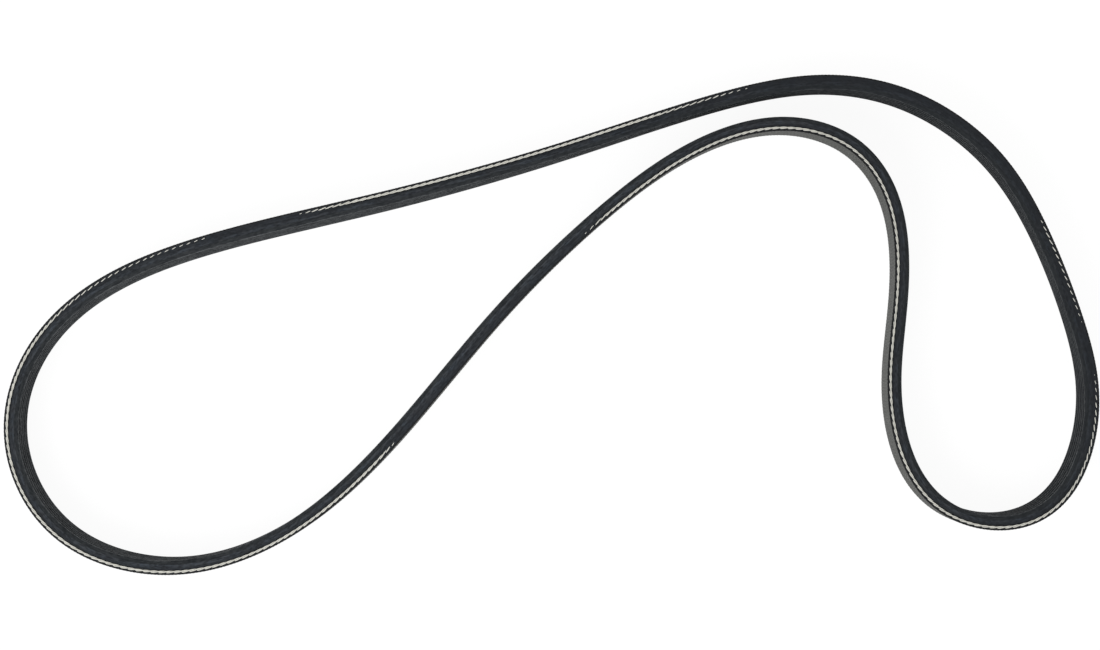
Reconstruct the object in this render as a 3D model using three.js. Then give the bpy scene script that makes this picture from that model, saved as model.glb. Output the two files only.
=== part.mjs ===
// Serpentine belt: an endless ribbed drive belt, off its pulleys, standing on one cut edge.
// Millimetres, +Z up. The belt's width runs along Z and its loop lies in plan.
import * as THREE from 'three';

// Ribs: each runs lengthwise on the inner side and seats in a pulley groove
const ribCount = 6;
const ribPitch = 3.56;
const ribHeight = 2.25;
const ribAngle = 40;
const ribTipRadius = 0.5;
const valleyRadius = 0.35;

// Each edge was cut this far inside the valley that bounds the outer rib
const edgeTrim = 0.6;

// Layers from the smooth back towards the ribs
const backingThickness = 0.45;
const cordDiameter = 0.95;
const cushionThickness = 0.7;

// The cut also sliced the outermost turn of cord, this far outside the cord's centre
const cordSliceDepth = 0.15;

// Length of the loop along its cords, by which such a belt is ordered
const pitchLength = 950;

// Plan of the loop along the cords at the upper edge, anticlockwise from the far right.
// Each control point of the smooth curve is x, y and how far inside it the foot stands.
const routePoints = [
  [167.8, -22, 0],
  [161, 3, -0.8],
  [150.5, 30, -0.8],
  [137, 54, 0.3],
  [111, 72.5, 0.6],
  [79, 77.5, 0.4],
  [42, 67.5, 0],
  [0, 53, 0.3],
  [-49, 39.7, 1],
  [-94, 30, 1],
  [-131, 18.5, 0.6],
  [-155.8, 0.3, -0.1],
  [-167.5, -25, -0.4],
  [-163.5, -50.5, -0.1],
  [-146, -71, 0.2],
  [-112, -78.5, 0],
  [-76.5, -65, 0],
  [-46.5, -36.5, 0],
  [-15.5, 3.5, 0.1],
  [17, 34.5, 0.2],
  [42.5, 53.5, 0.1],
  [69, 62.5, -0.1],
  [93.5, 56, -0.3],
  [105.5, 36, 0],
  [106, 9, 0.2],
  [101.8, -17, 0],
  [106, -43, -0.4],
  [120, -60, -0.3],
  [144, -63.3, 0.6],
  [161.5, -50, 0.4],
];

// Fineness of the faceted solids: degrees and millimetres that add up to one station
const curveSamplesPerPoint = 40;
const turnPerStation = 10;
const lengthPerStation = 45;
const tipArcSteps = 1;
const valleyArcSteps = 2;
const cordArcSteps = 4;

const beltWidth = ribCount * ribPitch - 2 * edgeTrim;
const cordRadius = cordDiameter / 2;
const backOffset = -(cordRadius + backingThickness);
const valleyOffset = cordRadius + cushionThickness;
const tipOffset = valleyOffset + ribHeight;
const flankAngle = THREE.MathUtils.degToRad(ribAngle / 2);
const roundSweep = Math.PI / 2 - flankAngle;
const cornerReach = Math.tan(roundSweep / 2);
const tipHalf = ribPitch / 2 - valleyRadius * cornerReach - ribHeight * Math.tan(flankAngle);

// Points of a round stretch, from one angle to another about a centre, both ends included
function arcPoints(centreOffset, centreHeight, radius, fromAngle, toAngle, steps) {
  const points = [];
  for (let i = 0; i <= steps; i += 1) {
    const angle = THREE.MathUtils.lerp(fromAngle, toAngle, i / steps);
    const offset = centreOffset + radius * Math.cos(angle);
    points.push([offset, centreHeight + radius * Math.sin(angle)]);
  }
  return points;
}

// One rib's two rounded tip corners, at a height measured to the middle of the rib
function ribTip(middle) {
  const radius = Math.min(ribTipRadius, tipHalf / cornerReach);
  const flatHalf = tipHalf - radius * cornerReach;
  const centre = tipOffset - radius;
  return [
    ...arcPoints(centre, middle - flatHalf, radius, -roundSweep, 0, tipArcSteps),
    ...arcPoints(centre, middle + flatHalf, radius, 0, roundSweep, tipArcSteps),
  ];
}

// The round bottom between two ribs, from one angle to another
function valley(height, fromAngle, toAngle) {
  const centre = valleyOffset + valleyRadius;
  return arcPoints(centre, height, valleyRadius, fromAngle, toAngle, valleyArcSteps);
}

// Where the cut edge meets the outer rib: on its flank, or else in the round of the valley
function outerCorner() {
  if (edgeTrim < valleyRadius * Math.sin(roundSweep)) {
    const cutAngle = Math.PI - Math.asin(edgeTrim / valleyRadius);
    return valley(-edgeTrim, cutAngle, Math.PI - roundSweep);
  }
  const besideTip = ribPitch / 2 - edgeTrim - tipHalf;
  return [[tipOffset - besideTip / Math.tan(flankAngle), 0]];
}

// The sliced cord's round side, which is also the groove it lies in
function cordArc(edgeHeight, inward) {
  const half = Math.acos(cordSliceDepth / cordRadius);
  const centre = edgeHeight + inward * cordSliceDepth;
  const middle = (inward * Math.PI) / 2;
  const turn = Math.PI - half;
  return arcPoints(0, centre, cordRadius, middle + turn, middle - turn, cordArcSteps);
}

const lowerCord = cordArc(0, 1);
const upperCord = cordArc(beltWidth, -1);

// Section of the rubber body: offset towards the ribs, and height
function bodySection() {
  const corner = outerCorner();
  const points = [[backOffset, 0], ...lowerCord, ...corner];
  for (let i = 0; i < ribCount; i += 1) {
    const foot = i * ribPitch - edgeTrim;
    if (i > 0) {
      points.push(...valley(foot, Math.PI + roundSweep, Math.PI - roundSweep));
    }
    points.push(...ribTip(foot + ribPitch / 2));
  }
  const upperCorner = corner.map(([offset, height]) => [offset, beltWidth - height]);
  points.push(...upperCorner.reverse());
  points.push(...upperCord);
  points.push([backOffset, beltWidth]);
  return points;
}

// Closed curve whose bend changes smoothly, as in an elastic band: a uniform cubic B-spline
function routeAt(parameter) {
  const count = routePoints.length;
  const start = Math.floor(parameter);
  const u = parameter - start;
  const weights = [
    (1 - u) ** 3,
    3 * u ** 3 - 6 * u ** 2 + 4,
    -3 * u ** 3 + 3 * u ** 2 + 3 * u + 1,
    u ** 3,
  ];
  const sum = [0, 0, 0];
  weights.forEach((weight, k) => {
    const point = routePoints[(start + k - 1 + count) % count];
    point.forEach((value, axis) => {
      sum[axis] += (value * weight) / 6;
    });
  });
  return { x: sum[0], y: sum[1], lean: sum[2] };
}

// Fine samples of the route, with the direction to the ribs and the loop's true length
function sampleRoute() {
  const count = routePoints.length * curveSamplesPerPoint;
  const drawn = [];
  for (let i = 0; i < count; i += 1) {
    drawn.push(routeAt(i / curveSamplesPerPoint));
  }
  const gap = (a, b) => Math.hypot(b.x - a.x, b.y - a.y);
  const drawnLength = drawn.reduce((sum, p, i) => sum + gap(p, drawn[(i + 1) % count]), 0);
  const scale = pitchLength / drawnLength;
  return drawn.map((point, i) => {
    const before = drawn[(i - 1 + count) % count];
    const after = drawn[(i + 1) % count];
    const span = gap(before, after);
    return {
      x: point.x * scale,
      y: point.y * scale,
      lean: point.lean,
      towardX: -(after.y - before.y) / span,
      towardY: (after.x - before.x) / span,
      step: gap(point, after) * scale,
    };
  });
}

// Stations along the loop, close together where it bends and further apart where it runs straight
function chooseStations(samples) {
  const demand = samples.map((sample, i) => {
    const next = samples[(i + 1) % samples.length];
    const cross = sample.towardX * next.towardY - sample.towardY * next.towardX;
    const turn = THREE.MathUtils.radToDeg(Math.abs(Math.asin(cross)));
    return turn / turnPerStation + sample.step / lengthPerStation;
  });
  const total = demand.reduce((sum, value) => sum + value, 0);
  const share = total / Math.ceil(total);
  const stations = [];
  let passed = 0;
  samples.forEach((sample, i) => {
    if (passed >= stations.length * share) {
      stations.push(sample);
    }
    passed += demand[i];
  });
  return stations;
}

const stations = chooseStations(sampleRoute());

// Carries a section round the loop. A section that goes the other way round is turned inside out.
function sweepRound(section, reversed) {
  const positions = [];
  for (const station of stations) {
    for (const [offset, height] of section) {
      const inside = offset + station.lean * (1 - height / beltWidth);
      const x = station.x + station.towardX * inside;
      const y = station.y + station.towardY * inside;
      positions.push(x, y, height);
    }
  }
  const index = [];
  const around = section.length;
  for (let s = 0; s < stations.length; s += 1) {
    const here = s * around;
    const next = ((s + 1) % stations.length) * around;
    for (let m = 0; m < around; m += 1) {
      const n = (m + 1) % around;
      const [a, b, c, d] = [here + m, next + m, next + n, here + n];
      index.push(...(reversed ? [a, b, c, a, c, d] : [a, c, b, a, d, c]));
    }
  }
  const geometry = new THREE.BufferGeometry();
  geometry.setAttribute('position', new THREE.Float32BufferAttribute(positions, 3));
  geometry.setIndex(index);
  geometry.computeVertexNormals();
  return geometry;
}

// Ribs, cushion rubber and backing, vulcanised into one
const rubberMaterial = new THREE.MeshStandardMaterial({
  color: 0x24272c,
  roughness: 0.7,
  metalness: 0,
});

// Twisted polyester, bare where the edge was cut
const upperCordMaterial = new THREE.MeshStandardMaterial({
  color: 0xc9c4b4,
  roughness: 0.85,
  metalness: 0,
});
const lowerCordMaterial = upperCordMaterial.clone();

const pieces = [
  ['belt_body', bodySection(), false, rubberMaterial],
  ['upper_edge_cord', upperCord, true, upperCordMaterial],
  ['lower_edge_cord', lowerCord, true, lowerCordMaterial],
];

const belt = new THREE.Group();
for (const [name, section, reversed, material] of pieces) {
  const mesh = new THREE.Mesh(sweepRound(section, reversed), material);
  mesh.name = name;
  belt.add(mesh);
}

// The origin is in the middle of the loop, on the surface that the belt stands on
const bounds = new THREE.Box3().setFromObject(belt);
const middle = bounds.getCenter(new THREE.Vector3());
for (const mesh of belt.children) {
  mesh.geometry.translate(-middle.x, -middle.y, 0);
}

export default belt;
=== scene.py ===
# %% [markdown]
# # A serpentine belt, off its pulleys
#
# A serpentine belt is an endless band of black rubber. Seen across its width, it has a thin
# backing, a layer of polyester cord that takes the pull, a cushion of rubber round the cord,
# and ribs that run lengthwise and seat in the grooves of the pulleys. Many belts are cured
# side by side as one wide sleeve on a drum, and are then cut apart, so both edges are cut
# rubber, and the cut lays the outermost turn of cord bare.
#
# This lesson builds such a belt as it stands on one cut edge in a loose loop. One smooth
# route carries every layer, and Geometry Nodes sweep each layer's section along it.

# %% Load the engineering model as a fixed frame
import math

import bpy
import numpy as np
from mathutils import Matrix, Vector


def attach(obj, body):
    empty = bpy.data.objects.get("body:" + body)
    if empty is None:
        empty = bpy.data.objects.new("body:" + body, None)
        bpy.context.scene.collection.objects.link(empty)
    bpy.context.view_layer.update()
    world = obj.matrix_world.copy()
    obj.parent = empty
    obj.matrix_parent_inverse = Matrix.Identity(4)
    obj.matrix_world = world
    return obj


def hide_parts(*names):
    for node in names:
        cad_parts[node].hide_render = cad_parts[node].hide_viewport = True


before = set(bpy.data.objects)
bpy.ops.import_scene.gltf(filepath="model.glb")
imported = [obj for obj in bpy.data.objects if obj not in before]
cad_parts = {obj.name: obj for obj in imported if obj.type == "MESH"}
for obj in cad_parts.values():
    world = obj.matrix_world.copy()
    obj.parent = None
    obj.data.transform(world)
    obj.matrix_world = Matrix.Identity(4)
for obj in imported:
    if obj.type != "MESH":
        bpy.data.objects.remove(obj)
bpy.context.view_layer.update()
MM = 0.001

# %% [markdown]
# ## The camera
#
# The belt is seen from straight above, a little over a metre away, with a long lens. At that
# distance the view still opens out, so the walls that face the middle of the picture show:
# the smooth back where the loop folds in, and the ribs elsewhere. A Track To constraint could
# aim the camera, but one that looks straight down has no natural upward direction to track,
# so its turn is built from its own three axes.

# %% Camera
CAMERA_PLACE = Vector((6.84, -5.36, 1056.96)) * MM
CAMERA_TARGET = Vector((-0.21, 0.0, 20.16)) * MM
CAMERA_LENS = 111.73
CAMERA_SENSOR = 36
CAMERA_ROLL = 0.0011


def make_camera():
    """A camera that looks at its target with +Y at the top of the picture."""
    ahead = (CAMERA_TARGET - CAMERA_PLACE).normalized()
    right = ahead.cross(Vector((0, 1, 0))).normalized()
    above = right.cross(ahead)
    turned_right = math.cos(CAMERA_ROLL) * right + math.sin(CAMERA_ROLL) * above
    turned_above = math.cos(CAMERA_ROLL) * above - math.sin(CAMERA_ROLL) * right
    data = bpy.data.cameras.new("camera")
    data.lens = CAMERA_LENS
    data.sensor_width = CAMERA_SENSOR
    camera = bpy.data.objects.new("camera", data)
    bpy.context.scene.collection.objects.link(camera)
    turn = Matrix((turned_right, turned_above, -ahead)).transposed().to_4x4()
    camera.matrix_world = Matrix.Translation(CAMERA_PLACE) @ turn
    return camera


bpy.context.scene.camera = make_camera()
print("lens and sensor in mm:", CAMERA_LENS, CAMERA_SENSOR)

# %% [markdown]
# ## The route of the loop
#
# Off its pulleys the belt bends like a stiff elastic band, so its bend changes smoothly
# everywhere. A Bezier curve could follow it, but its bend jumps at each knot unless the handles
# are set with care. A cubic B-spline is smooth by itself, and a few control points steer it.
# Each point is x and y in millimetres, and the lean: how far inside the upper edge the foot
# stands. The route runs along the cords at the upper edge, anticlockwise from the far right.

# %% Route points
ROUTE_POINTS = [
    (167.8, -22, 0),
    (161, 3, -0.8),
    (150.5, 30, -0.8),
    (137, 54, 0.3),
    (111, 72.5, 0.6),
    (79, 77.5, 0.4),
    (42, 67.5, 0),
    (0, 53, 0.3),
    (-49, 39.7, 1),
    (-94, 30, 1),
    (-131, 18.5, 0.6),
    (-155.8, 0.3, -0.1),
    (-167.5, -25, -0.4),
    (-163.5, -50.5, -0.1),
    (-146, -71, 0.2),
    (-112, -78.5, 0),
    (-76.5, -65, 0),
    (-46.5, -36.5, 0),
    (-15.5, 3.5, 0.1),
    (17, 34.5, 0.2),
    (42.5, 53.5, 0.1),
    (69, 62.5, -0.1),
    (93.5, 56, -0.3),
    (105.5, 36, 0),
    (106, 9, 0.2),
    (101.8, -17, 0),
    (106, -43, -0.4),
    (120, -60, -0.3),
    (144, -63.3, 0.6),
    (161.5, -50, 0.4),
]
PITCH_LENGTH = 950 * MM
SAMPLES_PER_POINT = 200


def smooth_route():
    """Fine samples of the closed B-spline: x, y and lean, scaled to the belt's length."""
    points = np.array(ROUTE_POINTS, float) * MM
    before, here, after, beyond = (np.roll(points, k, 0)[:, None] for k in (1, 0, -1, -2))
    u = (np.arange(SAMPLES_PER_POINT) / SAMPLES_PER_POINT)[None, :, None]
    drawn = (
        before * (1 - u) ** 3
        + here * (3 * u**3 - 6 * u**2 + 4)
        + after * (-3 * u**3 + 3 * u**2 + 3 * u + 1)
        + beyond * u**3
    ).reshape(-1, 3) / 6
    steps = np.roll(drawn, -1, 0) - drawn
    scale = PITCH_LENGTH / np.hypot(steps[:, 0], steps[:, 1]).sum()
    drawn[:, :2] *= scale
    return drawn


route = smooth_route()
steps = np.hypot(*(np.roll(route, -1, 0) - route)[:, :2].T)
travelled = np.concatenate([[0], np.cumsum(steps)])
print("loop length in mm:", round(travelled[-1] / MM, 3))

# %% [markdown]
# ## The belt's section
#
# Six ribs stand 3.56 mm apart with 40 degrees between their flanks, the standard of car
# belts. Each edge was cut a little inside the valley beside the outer rib. Offsets count from
# the cords' centre: negative towards the back, positive towards the rib tips.

# %% Section sizes
RIB_COUNT = 6
RIB_PITCH = 3.56 * MM
RIB_HEIGHT = 2.25 * MM
FLANK = math.radians(20)
TIP_RADIUS = 0.5 * MM
VALLEY_RADIUS = 0.35 * MM
EDGE_TRIM = 0.6 * MM
BACKING = 0.45 * MM
CORD_RADIUS = 0.475 * MM
CUSHION = 0.7 * MM

BELT_WIDTH = RIB_COUNT * RIB_PITCH - 2 * EDGE_TRIM
BACK = -(CORD_RADIUS + BACKING)
VALLEY = CORD_RADIUS + CUSHION
TIP = VALLEY + RIB_HEIGHT
ROUND_SWEEP = math.pi / 2 - FLANK
# How far a round of radius 1 reaches along each side of its corner
CORNER_REACH = math.tan(ROUND_SWEEP / 2)
# Half of a rib's width at its tip, before the corners are rounded
TIP_HALF = RIB_PITCH / 2 - VALLEY_RADIUS * CORNER_REACH - RIB_HEIGHT * math.tan(FLANK)
# The cut meets the flank of the outer rib at this offset
FLANK_START = TIP - (RIB_PITCH / 2 - EDGE_TRIM - TIP_HALF) / math.tan(FLANK)
print("belt width in mm:", round(BELT_WIDTH / MM, 2), "thickness:", round((TIP - BACK) / MM, 2))

# %% [markdown]
# ## Where the cut lays the cord bare
#
# The cord is wound on the drum as a shallow screw, and the cut runs straight, so the cut meets
# the cord at a depth that changes round the loop. Where the cord's centre is close to the cut,
# the whole twist shows. Where it is deeper, only the crests of its plies are sliced, which
# leaves a row of dashes, and deeper still it is hidden in the rubber. The table gives the
# travel along the loop and the depth of the cord's centre below the upper edge, both in
# millimetres. The lower edge was cut in the same way, so it takes the same table from another
# place on the loop.

# %% Depth of the outermost cord
CORD_DEPTHS = [
    (0, 0.375),
    (6, 0.385),
    (9, 0.42),
    (13, 0.48),
    (20, 0.43),
    (28, 0.38),
    (54, 0.365),
    (62, 0.44),
    (72, 0.7),
    (150, 0.7),
    (162, 0.41),
    (172, 0.37),
    (190, 0.335),
    (200, 0.2),
    (286, 0.2),
    (292, 0.325),
    (302, 0.36),
    (308, 0.42),
    (314, 0.5),
    (328, 0.47),
    (336, 0.385),
    (370, 0.37),
    (388, 0.34),
    (402, 0.2),
    (570, 0.2),
    (577, 0.34),
    (584, 0.44),
    (598, 0.55),
    (660, 0.46),
    (672, 0.35),
    (684, 0.2),
    (905, 0.2),
    (926, 0.335),
    (950, 0.375),
]
LOWER_EDGE_SHIFT = 430 * MM
GROOVE_OPEN_DEPTH = 0.25 * MM
GROOVE_CLOSED_DEPTH = 0.4 * MM


def cord_depth(travel):
    """Depth of the cord's centre under the cut, in metres, at each travel."""
    table = np.array(CORD_DEPTHS) * MM
    return np.interp(np.mod(travel, PITCH_LENGTH), table[:, 0], table[:, 1])


def groove_openness(depth):
    """1 where the cord lies in an open groove, 0 where rubber closes over it."""
    share = (GROOVE_CLOSED_DEPTH - depth) / (GROOVE_CLOSED_DEPTH - GROOVE_OPEN_DEPTH)
    share = np.clip(share, 0, 1)
    return share * share * (3 - 2 * share)


evenly = np.linspace(0, PITCH_LENGTH, len(travelled))
bare = groove_openness(cord_depth(evenly))
print("share of the loop where the cord lies open:", round(float(bare.mean()), 2))

# %% [markdown]
# ## Where the belt is handled
#
# Parts of the loop take more light than others, and the rubber is painted paler there: this
# is painted light. The change is slow, so a few pairs of travel and paleness describe it.

# %% Painted light round the loop
# Painted light: travel in millimetres and how much paler the rubber is painted there.
PAINTED_LIGHT_ROUND_LOOP = [
    (0, 0.52),
    (140, 0.46),
    (230, 0.95),
    (420, 1.1),
    (590, 1.1),
    (620, 1.32),
    (670, 1.3),
    (710, 1.0),
    (790, 0.72),
    (870, 0.95),
    (950, 0.52),
]


def painted_light_at(travel):
    """How much paler the rubber is painted at each travel, as painted light."""
    table = np.array(PAINTED_LIGHT_ROUND_LOOP)
    return np.interp(np.mod(travel, PITCH_LENGTH), table[:, 0] * MM, table[:, 1])


painted_light_values = [light_and_wear for _, light_and_wear in PAINTED_LIGHT_ROUND_LOOP]
print("wear between", min(painted_light_values), "and", max(painted_light_values))

# %% [markdown]
# ## Stations along the route
#
# Every layer is swept along the same route, each with its own number of stations. A station
# knows what the node trees and the materials need: its place, the direction to the ribs, the
# lean, its share of the loop, how deep the two bare cords lie, how open their grooves are and
# how much paler the rubber is painted there as painted light. The loop is then moved so that
# its middle is at the origin, as in the engineering model.

# %% Stations round the loop
FINE_STATIONS = 4000


def station_values(count):
    """Places and attributes of equally spaced stations round the loop."""
    travel = np.arange(count) / count * PITCH_LENGTH
    closed = np.vstack([route, route[:1]])
    x, y, lean = (np.interp(travel, travelled, closed[:, k]) for k in range(3))
    small = PITCH_LENGTH / FINE_STATIONS
    ahead = np.stack([
        np.interp(travel + small, travelled, closed[:, k], period=PITCH_LENGTH)
        - np.interp(travel - small, travelled, closed[:, k], period=PITCH_LENGTH)
        for k in range(2)
    ])
    ahead /= np.hypot(*ahead)
    return {
        "place": np.stack([x, y, np.zeros(count)], 1),
        "toward_ribs": np.stack([-ahead[1], ahead[0], np.zeros(count)], 1),
        "lean": lean,
        "loop_share": travel / PITCH_LENGTH,
        "upper_depth": cord_depth(travel),
        "lower_depth": cord_depth(travel + LOWER_EDGE_SHIFT),
        "light_and_wear": painted_light_at(travel),
        "upper_open": groove_openness(cord_depth(travel)),
        "lower_open": groove_openness(cord_depth(travel + LOWER_EDGE_SHIFT)),
    }


def centre_shift():
    """The plan shift that brings the middle of the loop's bounding box to the origin."""
    values = station_values(FINE_STATIONS)
    lean = values["lean"][:, None]
    corners = [
        values["place"] + values["toward_ribs"] * (offset + lean * foot)
        for offset in (BACK, TIP)
        for foot in (0, 1)
    ]
    corners = np.vstack(corners)
    return (corners.min(0) + corners.max(0)) / 2


SHIFT = centre_shift()
print("centre shift in mm:", np.round(SHIFT / MM, 3))

# %% [markdown]
# ## A line that carries numbers
#
# The stations are handed to the node trees as a mesh of points joined in a ring. A curve
# object could hold the same line, but a mesh takes named numbers at its points directly. The
# sections of the layers are such rings too.

# %% Rings of points


def numbered_line(name, points, attributes):
    """A mesh ring through the points, with a number or a vector stored at each point."""
    count = len(points)
    mesh = bpy.data.meshes.new(name)
    mesh.from_pydata(points.tolist(), [(i, (i + 1) % count) for i in range(count)], [])
    for key, values in attributes.items():
        kind = "FLOAT_VECTOR" if values.ndim == 2 else "FLOAT"
        field = "vector" if values.ndim == 2 else "value"
        attribute = mesh.attributes.new(key, kind, "POINT")
        attribute.data.foreach_set(field, values.astype(np.float32).ravel())
    return mesh


def route_ring(name, count):
    """The stations as a ring mesh, ready to be the geometry of a sweep."""
    values = station_values(count)
    values["place"] = values["place"] - SHIFT
    return numbered_line(name, values["place"], values)


print("each station carries:", ", ".join(station_values(1)))

# %% [markdown]
# ## Small helpers for node trees
#
# Geometry Nodes and shader trees are both lists of nodes joined by links. Writing each link
# out would make the lists long, so one helper adds a node and plugs in its inputs, and another
# starts a tree with named sockets.

# %% Node helpers
NODE_SPACING = 190


def plug(tree, value, socket):
    """Links another node's output to a socket, or sets the socket to a plain value."""
    if isinstance(value, bpy.types.NodeSocket):
        tree.links.new(value, socket)
    else:
        socket.default_value = value


def add(tree, kind, inputs=None, **settings):
    """Adds a node. Inputs are given by name or number."""
    node = tree.nodes.new(kind)
    node.location = (NODE_SPACING * len(tree.nodes), 0)
    for key, value in settings.items():
        setattr(node, key, value)
    for key, value in (inputs or {}).items():
        plug(tree, value, node.inputs[key])
    return node


def new_tree(name, kind, inputs, outputs):
    """A node tree with named sockets. Returns the tree, its inputs and its output node."""
    tree = bpy.data.node_groups.new(name, kind)
    for label, socket in inputs:
        tree.interface.new_socket(label, in_out="INPUT", socket_type="NodeSocket" + socket)
    for label, socket in outputs:
        tree.interface.new_socket(label, in_out="OUTPUT", socket_type="NodeSocket" + socket)
    ins = tree.nodes.new("NodeGroupInput")
    return tree, ins.outputs, tree.nodes.new("NodeGroupOutput")


node_helpers = (plug, add, new_tree)
print("node helpers:", ", ".join(helper.__name__ for helper in node_helpers))

# %% [markdown]
# ## Arithmetic in node trees
#
# Most of what follows is arithmetic on numbers and vectors, and each step of it is a node. The
# same Math and Vector Math nodes work in both kinds of tree, so these helpers serve both.

# %% Arithmetic helpers


def calculate(tree, operation, first, second=None, third=None):
    """One step of arithmetic in any kind of tree."""
    values = [first, second, third]
    inputs = {i: value for i, value in enumerate(values) if value is not None}
    return add(tree, "ShaderNodeMath", inputs, operation=operation).outputs[0]


def stretch(tree, vector, factor):
    """A vector times a number."""
    inputs = {0: vector, "Scale": factor}
    return add(tree, "ShaderNodeVectorMath", inputs, operation="SCALE").outputs[0]


def add_vectors(tree, *vectors):
    """The sum of several vectors."""
    total = vectors[0]
    for vector in vectors[1:]:
        total = add(tree, "ShaderNodeVectorMath", {0: total, 1: vector}).outputs[0]
    return total


def combine(tree, x, y, z):
    """A vector from three numbers."""
    return add(tree, "ShaderNodeCombineXYZ", {0: x, 1: y, 2: z}).outputs[0]


arithmetic = (calculate, stretch, add_vectors, combine)
print("arithmetic helpers:", ", ".join(helper.__name__ for helper in arithmetic))

# %% [markdown]
# ## Steps that the sweeps share
#
# The layers of the belt and its cords are swept by two trees with some steps in common. Both
# read the numbers of the stations, work out a place on the leaning wall, and finish the
# surface: smooth shading that stays crisp at corners, real geometry and a material. Both also
# store where each point was on the drum that the belt was cured on. There the way round the
# belt is a circle, so a pattern in those coordinates has no seam.

# %% Shared steps


def read(tree, name, kind="FLOAT"):
    """An attribute that the geometry carries."""
    inputs = {"Name": name}
    return add(tree, "GeometryNodeInputNamedAttribute", inputs, data_type=kind).outputs[0]


def store(tree, geometry, name, value, kind="FLOAT"):
    """The geometry with one more attribute on its points."""
    inputs = {"Geometry": geometry, "Name": name, "Value": value}
    node = add(tree, "GeometryNodeStoreNamedAttribute", inputs, data_type=kind, domain="POINT")
    return node.outputs[0]


def ring_as_curve(tree, mesh):
    """A ring mesh as a closed curve whose frame stays upright."""
    curve = add(tree, "GeometryNodeMeshToCurve", {"Mesh": mesh}).outputs[0]
    return add(tree, "GeometryNodeSetCurveNormal", {"Curve": curve}, mode="Z_UP").outputs[0]


def inside_place(tree, offset, height, width):
    """The point at an offset from the cords and a height, on the leaning wall."""
    foot = calculate(tree, "SUBTRACT", 1.0, calculate(tree, "DIVIDE", height, width))
    inside = calculate(tree, "MULTIPLY_ADD", read(tree, "lean"), foot, offset)
    across = stretch(tree, read(tree, "toward_ribs", "FLOAT_VECTOR"), inside)
    place = read(tree, "place", "FLOAT_VECTOR")
    return add_vectors(tree, place, across, combine(tree, 0.0, 0.0, height))


def finish_surface(tree, geometry, material, sharp_angle):
    """Smooth shading with crisp corners, then real geometry and its material."""
    angle = add(tree, "GeometryNodeInputMeshEdgeAngle").outputs["Unsigned Angle"]
    crisp = add(tree, "FunctionNodeCompare", {"A": angle, "B": sharp_angle})
    inputs = {"Geometry": geometry, "Shade Smooth": True}
    geometry = add(tree, "GeometryNodeSetShadeSmooth", inputs, domain="FACE").outputs[0]
    inputs = {"Geometry": geometry, "Selection": crisp.outputs[0], "Shade Smooth": False}
    geometry = add(tree, "GeometryNodeSetShadeSmooth", inputs, domain="EDGE").outputs[0]
    geometry = add(tree, "GeometryNodeRealizeInstances", {0: geometry}).outputs[0]
    inputs = {"Geometry": geometry, "Material": material}
    return add(tree, "GeometryNodeSetMaterial", inputs).outputs[0]


def drum_place(tree, girth, length):
    """The point's place on the curing drum: round a circle, and along the section's girth."""
    angle = calculate(tree, "MULTIPLY", read(tree, "loop_share"), 2 * math.pi)
    radius = calculate(tree, "DIVIDE", length, 2 * math.pi)
    x = calculate(tree, "MULTIPLY", calculate(tree, "COSINE", angle), radius)
    y = calculate(tree, "MULTIPLY", calculate(tree, "SINE", angle), radius)
    return combine(tree, x, y, girth)


shared_steps = (ring_as_curve, inside_place, finish_surface, drum_place)
print("shared steps:", ", ".join(step.__name__ for step in shared_steps))

# %% [markdown]
# ## A tree that sweeps one layer of the belt
#
# Curve to Mesh lays a copy of the section at each station and skins them into a ring. Every
# point of that skin inherits the numbers of its station and of its place in the section. A Set
# Position node can then work out the exact place, whatever way the curve's own frame turns:
# out from the cords by the offset and up by the height, with the lean of the foot, the opening
# of the grooves and the fine cross ribs of the back.

# %% Layer sweep tree


def layer_sweep_tree():
    """Sweeps a section round the loop."""
    inputs = [
        ("Route", "Geometry"), ("Section", "Object"), ("Belt Width", "Float"),
        ("Loop Length", "Float"), ("Cross Ribs", "Float"), ("Cross Rib Depth", "Float"),
        ("Sharp Angle", "Float"), ("Material", "Material"),
    ]
    tree, ins, out = new_tree("belt_layer_sweep", "GeometryNodeTree", inputs, [("Layer", "Geometry")])
    section = add(tree, "GeometryNodeObjectInfo", {"Object": ins["Section"]}).outputs["Geometry"]
    profile = add(tree, "GeometryNodeMeshToCurve", {"Mesh": section}).outputs[0]
    inputs = {"Curve": ring_as_curve(tree, ins["Route"]), "Profile Curve": profile}
    layer = add(tree, "GeometryNodeCurveToMesh", inputs).outputs[0]

    turn = calculate(tree, "MULTIPLY", read(tree, "loop_share"), 2 * math.pi)
    wave = calculate(tree, "COSINE", calculate(tree, "MULTIPLY", turn, ins["Cross Ribs"]))
    layer = store(tree, layer, "crest", calculate(tree, "MULTIPLY_ADD", wave, 0.5, 0.5))
    half_depth = calculate(tree, "MULTIPLY", ins["Cross Rib Depth"], 0.5)
    rise = calculate(tree, "MULTIPLY", wave, half_depth)
    rise = calculate(tree, "MULTIPLY", rise, read(tree, "wave_share"))
    offset = calculate(tree, "SUBTRACT", read(tree, "offset"), rise)

    upper = calculate(tree, "MULTIPLY", read(tree, "upper_groove"), read(tree, "upper_open"))
    lower = calculate(tree, "MULTIPLY", read(tree, "lower_groove"), read(tree, "lower_open"))
    height = calculate(tree, "SUBTRACT", read(tree, "height"), upper)
    height = calculate(tree, "ADD", height, lower)
    place = inside_place(tree, offset, height, ins["Belt Width"])
    inputs = {"Geometry": layer, "Position": place}
    layer = add(tree, "GeometryNodeSetPosition", inputs).outputs[0]
    drum = drum_place(tree, read(tree, "girth"), ins["Loop Length"])
    layer = store(tree, layer, "drum_place", drum, "FLOAT_VECTOR")
    plug(tree, finish_surface(tree, layer, ins["Material"], ins["Sharp Angle"]), out.inputs[0])
    return tree


LAYER_SWEEP = layer_sweep_tree()
print("nodes in the layer sweep:", len(LAYER_SWEEP.nodes))

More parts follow.
